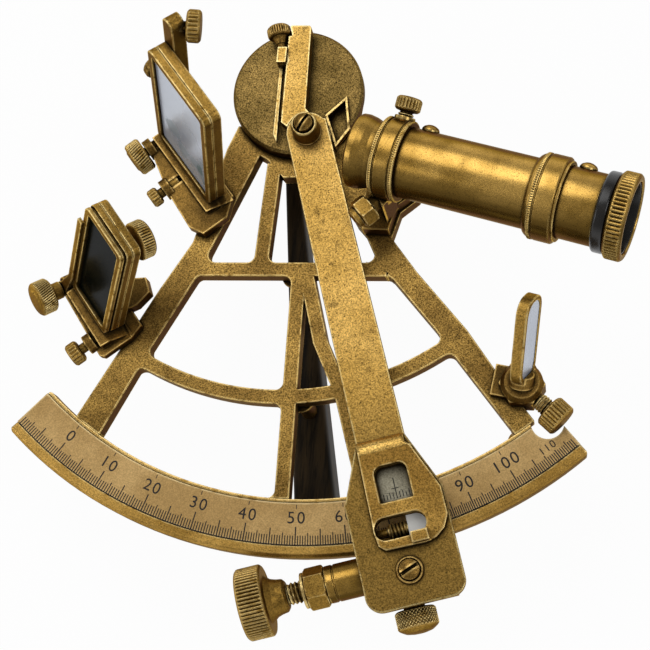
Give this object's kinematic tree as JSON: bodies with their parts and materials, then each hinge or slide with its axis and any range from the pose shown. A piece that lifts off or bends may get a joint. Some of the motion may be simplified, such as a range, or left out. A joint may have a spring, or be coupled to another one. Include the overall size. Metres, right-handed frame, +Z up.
{
  "type": "marine sextant",
  "caption": "Antique brass marine sextant lying on its legs, with telescope, mirrors, dark shade, divided arc and a swinging index arm with a tangent screw",
  "frame": {"origin": "middle of the foot face of the leg under the index arm's pivot", "axes": "+Z up, away from the table; -Y from the pivot towards the middle of the arc; +X towards the telescope"},
  "size_m": [0.2417, 0.2431, 0.1352],
  "materials": {
    "brass": "aged, satin, darkened in the corners and bright on worn edges",
    "pale_brass": "brushed along the arc, paler than the casting",
    "dark_brass": "aged, dark patina",
    "silvered": "silvered, fine grain",
    "white_enamel": "smooth and white",
    "dark_wood": "dark, waxed",
    "black_gloss": "black, glossy",
    "clear_glass": "polished",
    "mirror_silver": "silvered behind glass, cloudy stains",
    "shade_glass": "dark neutral teal"
  },
  "bodies": {
    "root": {"frame": "brass", "limb": "brass", "scale_plate": "pale_brass", "pivot_leg": "brass", "arc_legs": "brass", "pivot_disc": "brass", "pivot_bearing": "pale_brass", "handle": "dark_wood", "handle_brackets": "dark_brass", "telescope_bracket": "dark_brass", "bracket_bolt": "brass", "telescope_collar": "brass", "objective_cell": "brass", "objective_lens": "clear_glass", "main_tube": "brass", "rear_ring": "brass", "mirror_base": "dark_brass", "hinge_pins": "pale_brass", "shade_base": "dark_brass", "small_mirror_base": "dark_brass", "small_mirror_frame": "brass", "small_mirror_glass": "mirror_silver"},
    "arm": {"index_arm": "brass", "arm_tail": "brass", "pivot_shaft": "pale_brass", "pivot_collar": "brass", "pivot_screw": "dark_brass", "vernier_box": "brass", "vernier_plate": "silvered", "index_plate": "white_enamel", "foot_block": "dark_brass", "foot_screw": "pale_brass", "clamp_jaw": "dark_brass", "barrel": "brass", "lock_nut": "brass"},
    "tail_screw_body": {"tail_screw": "dark_brass"},
    "vernier_screw_body": {"vernier_screw": "dark_brass"},
    "clamp_knob_body": {"clamp_knob": "brass"},
    "tangent_screw_body": {"tangent_screw": "brass"},
    "collar_screw_body": {"collar_screw": "brass"},
    "draw": {"draw_tube": "brass", "black_ring": "black_gloss"},
    "eyepiece": {"eyepiece_ring": "brass", "eye_lens": "clear_glass"},
    "upper_mirror": {"mirror_front": "brass", "mirror_back": "brass", "mirror_glass": "mirror_silver", "mirror_post": "brass"},
    "mirror_post_screw_body": {"mirror_post_screw": "brass"},
    "mirror_side_screw_body": {"mirror_side_screw": "dark_brass"},
    "mirror_tilt_knob_body": {"mirror_tilt_knob": "brass"},
    "mirror_adjuster_body": {"mirror_adjuster": "brass"},
    "shade": {"shade_bezel": "brass", "shade_front": "brass", "shade_back": "brass", "shade_glass": "shade_glass"},
    "shade_tilt_knob_body": {"shade_tilt_knob": "brass"},
    "shade_adjuster_body": {"shade_adjuster": "brass"},
    "shade_back_knob_body": {"shade_back_knob": "brass"},
    "small_mirror_screw_body": {"small_mirror_screw": "brass"}
  },
  "joints": [
    {"name": "arm_swing", "type": "hinge", "parent": "root", "child": "arm", "pos_m": [0, 0, 0.064], "axis": [0, 0, 1], "range_deg": [-52, 13]},
    {"name": "tail_screw_turn", "type": "hinge", "parent": "arm", "child": "tail_screw_body", "pos_m": [-0.0147, 0.043, 0.0646], "axis": [0.2538, -0.9673, 0], "continuous": true},
    {"name": "vernier_screw_turn", "type": "hinge", "parent": "arm", "child": "vernier_screw_body", "pos_m": [0.03417, -0.15615, 0.06], "axis": [0.9581, 0.2865, 0], "continuous": true},
    {"name": "clamp_knob_turn", "type": "hinge", "parent": "arm", "child": "clamp_knob_body", "pos_m": [0.0507, -0.17929, 0.053], "axis": [0.2865, -0.9581, 0], "continuous": true},
    {"name": "tangent_screw_turn", "type": "hinge", "parent": "arm", "child": "tangent_screw_body", "pos_m": [-0.00335, -0.18074, 0.055], "axis": [0.9581, 0.2865, 0], "continuous": true},
    {"name": "collar_screw_turn", "type": "hinge", "parent": "root", "child": "collar_screw_body", "pos_m": [0.04019, -0.00404, 0.08512], "axis": [0.238, 0.9364, 0.2578], "continuous": true},
    {"name": "draw_slide", "type": "slide", "parent": "root", "child": "draw", "axis": [0.9595, -0.2679, 0.0872], "range_m": [-0.0015, 0.006]},
    {"name": "eyepiece_turn", "type": "hinge", "parent": "draw", "child": "eyepiece", "pos_m": [0.12134, -0.04054, 0.08923], "axis": [0.9595, -0.2679, 0.0872], "continuous": true},
    {"name": "mirror_tilt", "type": "hinge", "parent": "root", "child": "upper_mirror", "pos_m": [-0.04757, -0.01232, 0.05624], "axis": [0.628, -0.7782, 0], "range_deg": [-3, 3]},
    {"name": "mirror_post_screw_turn", "type": "hinge", "parent": "upper_mirror", "child": "mirror_post_screw_body", "pos_m": [-0.03916, 0.01489, 0.13025], "axis": [0.9846, 0.0034, -0.1746], "continuous": true},
    {"name": "mirror_side_screw_turn", "type": "hinge", "parent": "upper_mirror", "child": "mirror_side_screw_body", "pos_m": [-0.05277, 0.01201, 0.09779], "axis": [-0.628, 0.7782, 0], "continuous": true},
    {"name": "mirror_tilt_knob_turn", "type": "hinge", "parent": "root", "child": "mirror_tilt_knob_body", "pos_m": [-0.06727, -0.00509, 0.0554], "axis": [-0.7782, -0.628, 0], "continuous": true},
    {"name": "mirror_adjuster_turn", "type": "hinge", "parent": "root", "child": "mirror_adjuster_body", "pos_m": [-0.05885, -0.02206, 0.0554], "axis": [-0.7782, -0.628, 0], "range_deg": [-361, 361]},
    {"name": "shade_swing", "type": "hinge", "parent": "root", "child": "shade", "pos_m": [-0.09603, -0.06217, 0.0528], "axis": [-0.7085, -0.5555, 0.4352], "range_deg": [0, 95]},
    {"name": "shade_tilt_knob_turn", "type": "hinge", "parent": "root", "child": "shade_tilt_knob_body", "pos_m": [-0.10028, -0.0655, 0.05541], "axis": [-0.7085, -0.5555, 0.4352], "continuous": true},
    {"name": "shade_adjuster_turn", "type": "hinge", "parent": "root", "child": "shade_adjuster_body", "pos_m": [-0.08348, -0.08664, 0.0556], "axis": [-0.7869, -0.617, 0], "continuous": true},
    {"name": "shade_back_knob_turn", "type": "hinge", "parent": "shade", "child": "shade_back_knob_body", "pos_m": [-0.05703, -0.05574, 0.09324], "axis": [0.7085, 0.5555, -0.4352], "continuous": true},
    {"name": "small_mirror_screw_turn", "type": "hinge", "parent": "root", "child": "small_mirror_screw_body", "pos_m": [0.087, -0.096, 0.054], "axis": [0.7547, -0.6561, 0], "continuous": true}
  ],
  "couplings": [
    {"joint": "mirror_adjuster_turn", "follows": "mirror_tilt", "ratio": 120}
  ]
}
